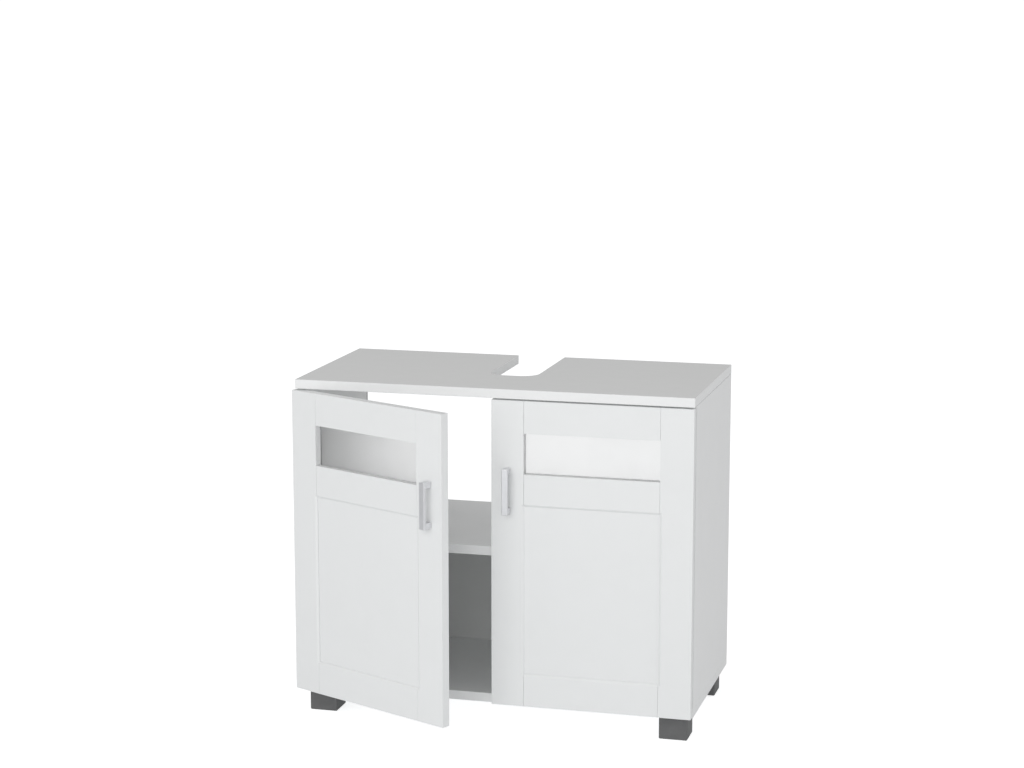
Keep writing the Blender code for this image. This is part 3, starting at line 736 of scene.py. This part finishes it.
for side in ("left", "right"):
    sign = DOOR_SIGN[side]
    for name, span in (
        ("hinge_stile", hinge_stile),
        ("handle_stile", handle_stile),
        ("top_rail", top_rail),
        ("middle_rail", middle_rail),
        ("bottom_rail", bottom_rail),
    ):
        rebate = door_box(
            side,
            grown(pane[0], CLEARANCE),
            (pane[1][0] - CLEARANCE, DOOR_OVERRUN),
            grown(pane[2], CLEARANCE),
        )
        groove = door_box(side, *[grown(span_panel, CLEARANCE) for span_panel in lower_panel])
        moulding = moulding_form(side, opening_across, panel_up, door_front_face)
        cutters = [rebate, groove, moulding]
        if name == "hinge_stile":
            cutters += [
                rod_form(
                    CUP_RADIUS + CLEARANCE,
                    (sign * cup_across, cup_front - CLEARANCE, up),
                    (sign * cup_across, DOOR_OVERRUN, up),
                )
                for up in cup_up.values()
            ]
        if name == "handle_stile":
            cutters += [
                rod_form(
                    SCREW_RADIUS + CLEARANCE,
                    (sign * middle_of(span_screw[0]), door_front_face - OVERRUN, middle_of(span_screw[2])),
                    (sign * middle_of(span_screw[0]), DOOR_OVERRUN, middle_of(span_screw[2])),
                    24,
                )
                for span_screw in screws.values()
            ]
        make_piece(
            f"{side}_{name}_wrapped",
            carve(door_box(side, *span), *cutters),
            door_foil,
            f"{side}_door",
            [f"{side}_door_{name}"],
            door_place(side),
            DOOR_ROUNDING,
        )
    make_piece(
        f"{side}_recessed_panel",
        door_box(side, *lower_panel),
        door_foil,
        f"{side}_door",
        [f"{side}_door_lower_panel"],
        door_place(side),
        PANEL_ROUNDING,
        2,
    )

# Glass panes
# ------------------------------------------------------------------------------------------------
# 3 mm clear glass, etched on its back so that it only lets soft light through, with ground edges. It
# lies in a rebate in the door's back and a clear plastic frame holds it there.

PANE_ROUNDING = 0.0004
RETAINER_ROUNDING = 0.0005
RETAINER_SETBACK = 0.0005

frosted_glass = finish(
    "frosted_glass", (0.845, 0.847, 0.845), (0.825, 0.827, 0.825), (0.36, 0.42), (3000.0, 3000.0, 3000.0),
    0.00003,
)
frosted_glass.node_tree.nodes["Principled BSDF"].inputs["Transmission Weight"].default_value = 0.97
frosted_glass.node_tree.nodes["Principled BSDF"].inputs["IOR"].default_value = 1.45
clear_plastic = finish(
    "clear_plastic", (0.84, 0.85, 0.85), (0.81, 0.82, 0.82), (0.30, 0.36), (1800.0, 1800.0, 1800.0), 0.000004
)
clear_plastic.node_tree.nodes["Principled BSDF"].inputs["Transmission Weight"].default_value = 0.3

retainer = on_door("glass_retainer")
window = (
    grown(opening_across, RETAINER_SETBACK),
    (-OVERRUN, DOOR_OVERRUN),
    grown(window_up, RETAINER_SETBACK),
)
for side in ("left", "right"):
    make_piece(
        f"{side}_pane",
        door_box(side, *pane),
        frosted_glass,
        f"{side}_door",
        [f"{side}_door_glass"],
        door_place(side),
        PANE_ROUNDING,
        2,
    )
    make_piece(
        f"{side}_pane_frame",
        carve(door_box(side, *retainer), door_box(side, *window)),
        clear_plastic,
        f"{side}_door",
        [f"{side}_door_glass_retainer"],
        door_place(side),
        RETAINER_ROUNDING,
        2,
    )

# Handles
# ------------------------------------------------------------------------------------------------
# Straight bows milled from flat aluminium bar, brushed along their length and anodised, each held by
# two machine screws from behind the door.

HANDLE_BAR = 0.005
HANDLE_ROUNDING = 0.0009
HANDLE_BORE_DEPTH = 0.002
BOLT_HEAD = 0.0018
BOLT_TURN = {"lower": 0.7, "upper": 0.2}

satin_aluminium = finish(
    "satin_aluminium", (0.80, 0.805, 0.82), (0.72, 0.725, 0.74), (0.30, 0.42), (3200.0, 3200.0, 70.0),
    0.00003, detail=3.0, metallic=1.0, patches=60.0,
)
handle = on_door("handle")
handle_across = middle_of(handle[0])
leg = handle[0][1] - handle[0][0]
for side in ("left", "right"):
    sign = DOOR_SIGN[side]
    front, foot = handle[1]
    low, high = handle[2]
    bow = (
        (foot, low),
        (front, low),
        (front, high),
        (foot, high),
        (foot, high - leg),
        (front + HANDLE_BAR, high - leg),
        (front + HANDLE_BAR, low + leg),
        (foot, low + leg),
    )
    form = prism_form(bow, sign * handle_across - leg / 2, sign * handle_across + leg / 2, 0)
    bores = [
        rod_form(
            SCREW_RADIUS + CLEARANCE,
            (sign * handle_across, span[1][0] - CLEARANCE, middle_of(span[2])),
            (sign * handle_across, foot + HANDLE_BORE_DEPTH, middle_of(span[2])),
            24,
        )
        for span in screws.values()
    ]
    make_piece(
        f"{side}_bow_handle",
        carve(form, *bores),
        satin_aluminium,
        f"{side}_door",
        [f"{side}_door_handle"],
        door_place(side),
        HANDLE_ROUNDING,
    )
    for level, span in screws.items():
        seat = span[1][1] - BOLT_HEAD
        point = Vector((sign * handle_across, seat, middle_of(span[2])))
        make_piece(
            f"{side}_{level}_handle_bolt",
            screw_head_form(leg * 0.4, BOLT_HEAD, SCREW_RADIUS, seat - span[1][0]),
            plated_steel,
            f"{side}_door",
            [f"{side}_door_{level}_handle_screw"],
            door_place(side) @ facing(point, (0.0, 1.0, 0.0), BOLT_TURN[level]),
        )

# Stop buffers
# ------------------------------------------------------------------------------------------------
# Clear domed buttons stuck on the door's back, which meet the base and the shelf.

for side in ("left", "right"):
    for level in LEVELS:
        node = f"{level}_buffer"
        across, back, up = on_door(node)
        radius, height = (across[1] - across[0]) / 2, back[1] - back[0]
        dome = lathe_form(
            (
                (0.0, 0.0),
                (radius, 0.0),
                (radius, height * 0.3),
                (radius * 0.94, height * 0.62),
                (radius * 0.8, height * 0.86),
                (radius * 0.5, height * 0.97),
                (0.0, height),
            )
        )
        make_piece(
            f"{side}_{level}_stop_button",
            dome,
            clear_plastic,
            f"{side}_door",
            [f"{side}_door_{node}"],
            door_place(side)
            @ facing((DOOR_SIGN[side] * middle_of(across), back[0], middle_of(up)), (0.0, 1.0, 0.0)),
        )

# Hinges
# ------------------------------------------------------------------------------------------------
# Concealed cup hinges in nickel plated steel: a pressed cup let into the hinge stile and screwed on by
# its two ears, and a cranked arm that is clamped on a plate on the side board.

CUP_WALL = 0.0012
CUP_CORNER = 0.0012
CUP_RIM = 0.0016
CUP_STEPS = 56
EAR_WIDTH = 0.015
EAR_THICKNESS = 0.001
EAR_SCREW = (0.0034, 0.0008)  # the head's radius and height

for side in ("left", "right"):
    sign = DOOR_SIGN[side]
    for level in LEVELS:
        up = cup_up[level]
        low, high = cups[level]
        depth = door_back_face - cup_front
        outer = CUP_RADIUS
        cup = lathe_form(
            (
                (0.0, -depth),
                (outer - CUP_CORNER, -depth),
                (outer - CUP_CORNER / 3, CUP_CORNER / 3 - depth),
                (outer, CUP_CORNER - depth),
                (outer, CLEARANCE),
                (outer + CUP_RIM, CLEARANCE),
                (outer + CUP_RIM, CLEARANCE + EAR_THICKNESS * 0.6),
                (outer + CUP_RIM * 0.7, CLEARANCE + EAR_THICKNESS),
                (outer - CUP_WALL * 0.6, CLEARANCE + EAR_THICKNESS),
                (outer - CUP_WALL, CLEARANCE),
                (outer - CUP_WALL, CUP_WALL * 2 - depth),
                (outer - CUP_WALL * 2, CUP_WALL - depth),
                (0.0, CUP_WALL - depth),
            ),
            CUP_STEPS,
        )
        half = (high.z - low.z) / 2
        ears = []
        for way in (1, -1):
            start, end = outer * way, (half - EAR_WIDTH / 2) * way
            over = CLEARANCE + EAR_THICKNESS
            ears.append(box_form((-EAR_WIDTH / 2, start, CLEARANCE), (EAR_WIDTH / 2, end, over)))
            under = CLEARANCE + EAR_THICKNESS * 0.98  # the rounded end is a hair thinner, to join cleanly
            ears.append(rod_form(EAR_WIDTH / 2, (0.0, end, CLEARANCE), (0.0, end, under), 40))
        cup = carve(cup, *ears, operation="UNION")
        place = door_place(side) @ facing((sign * cup_across, door_back_face, up), (0.0, 1.0, 0.0))
        make_piece(
            f"{side}_{level}_cup", cup, plated_steel, f"{side}_door",
            [f"{side}_{level}_hinge_cup"], place,
        )
        for way in (1, -1):
            make_piece(
                f"{side}_{level}_cup_screw_{'top' if way == 1 else 'bottom'}",
                screw_head_form(*EAR_SCREW),
                plated_steel,
                f"{side}_door",
                place=place
                @ Matrix.Translation((0.0, (half - EAR_WIDTH / 2) * way, over))
                @ Matrix.Rotation(0.4 + way * up, 4, "Z"),
            )

ARM_WALL = 0.0013
ARM_CHANNEL_FRONT = 0.021  # behind the tip of the nose
ARM_TAPER = 0.0037
ARM_ROUNDING = 0.0003
LEAF_GAP = 0.0006
LEAF_LENGTH = 0.013
LEAF_SPREAD = 0.0022  # from the arm's middle to each gap
SLOT_WIDE = 0.0018
SLOT_DEEP = 0.006
CLAMP_SCREW_BACK = 0.055
ARM_SCREW_HEIGHT = 0.0013
ARM_SCREW_SINK = 0.0002
# name, how far behind the tip of the nose, the head's radius
ARM_SCREWS = (("side_screw", 0.031, 0.0030), ("clamp_screw", CLAMP_SCREW_BACK, 0.0036))
PLATE_WAIST = 0.017
PLATE_WING = 0.013
PLATE_CORNER = 0.003
PLATE_ROUNDING = 0.0004
PLATE_SCREW = (0.0036, 0.0014)  # the head's radius and height
PLATE_SCREW_SPACING = 0.032


def channel_form(node, inward, plate_face):
    """The arm's own solid, made into a channel that opens to the plate, with its nose split in leaves."""
    form = bmesh.new()
    form.from_mesh(frame["nodes"][node].data)
    low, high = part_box(node)
    middle = (low.z + high.z) / 2
    web = low.x if inward < 0 else high.x
    inner = web - inward * ARM_WALL
    front = low.y + ARM_CHANNEL_FRONT
    hollow = prism_form(
        (
            (plate_face - inward * OVERRUN, front),
            (inner, front),
            (inner - inward * ARM_TAPER, high.y + CLEARANCE),
            (plate_face - inward * OVERRUN, high.y + CLEARANCE),
        ),
        low.z + ARM_WALL,
        high.z - ARM_WALL,
        2,
    )
    leaves = [
        box_form(
            (low.x - OVERRUN, low.y - OVERRUN, middle + way * LEAF_SPREAD - LEAF_GAP),
            (high.x + OVERRUN, low.y + LEAF_LENGTH, middle + way * LEAF_SPREAD + LEAF_GAP),
        )
        for way in (-1, 1)
    ]
    slot = box_form(
        (web - inward * SLOT_DEEP, low.y + CLAMP_SCREW_BACK, middle - SLOT_WIDE),
        (web + inward * SLOT_DEEP, high.y + OVERRUN, middle + SLOT_WIDE),
    )
    return carve(form, hollow, *leaves, slot)


for side in ("left", "right"):
    inward = DOOR_SIGN[side]
    for level in LEVELS:
        node = f"{side}_{level}_hinge_arm"
        low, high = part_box(node)
        middle = (low.z + high.z) / 2
        web = high.x if side == "left" else low.x
        plate_low, plate_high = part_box(f"{side}_{level}_hinge_plate")
        plate_face = plate_high.x if side == "left" else plate_low.x
        make_piece(
            f"{side}_{level}_arm", channel_form(node, inward, plate_face), plated_steel, "carcass",
            [node], rounding=ARM_ROUNDING, steps=2,
        )
        for name, back, radius in ARM_SCREWS:
            slope = (back - ARM_CHANNEL_FRONT) / (high.y - low.y - ARM_CHANNEL_FRONT) * ARM_TAPER
            face = web - inward * (slope + ARM_SCREW_SINK)
            lean = (inward, ARM_TAPER / (high.y - low.y), 0.0)
            make_piece(
                f"{side}_{level}_arm_{name}", screw_head_form(radius, ARM_SCREW_HEIGHT), plated_steel,
                "carcass", place=facing((face, low.y + back, middle), lean, back * 40),
            )
        y, thick = (plate_low.y + plate_high.y) / 2, plate_high.x - plate_low.x
        waist = box_form(
            (plate_low.x, plate_low.y, middle - PLATE_WAIST / 2),
            (plate_high.x, plate_high.y, middle + PLATE_WAIST / 2),
        )
        wings = box_form(
            (plate_low.x, y - PLATE_WING / 2, plate_low.z), (plate_high.x, y + PLATE_WING / 2, plate_high.z)
        )
        plate = carve(waist, wings, operation="UNION")
        corners = [
            edge for edge in plate.edges
            if abs(edge.verts[0].co.x - edge.verts[1].co.x) > thick / 2
        ]
        bmesh.ops.bevel(
            plate, geom=corners, offset=PLATE_CORNER, offset_type="OFFSET", segments=6, profile=0.5,
            affect="EDGES",
        )
        make_piece(
            f"{side}_{level}_mounting_plate", plate, plated_steel, "carcass",
            [f"{side}_{level}_hinge_plate"], rounding=PLATE_ROUNDING, steps=2,
        )
        for name, way in (("top", 1), ("bottom", -1)):
            make_piece(
                f"{side}_{level}_plate_screw_{name}",
                screw_head_form(*PLATE_SCREW),
                plated_steel,
                "carcass",
                place=facing(
                    (plate_face, y, middle + way * PLATE_SCREW_SPACING / 2),
                    (inward, 0.0, 0.0),
                    0.5 + way * 0.3,
                ),
            )
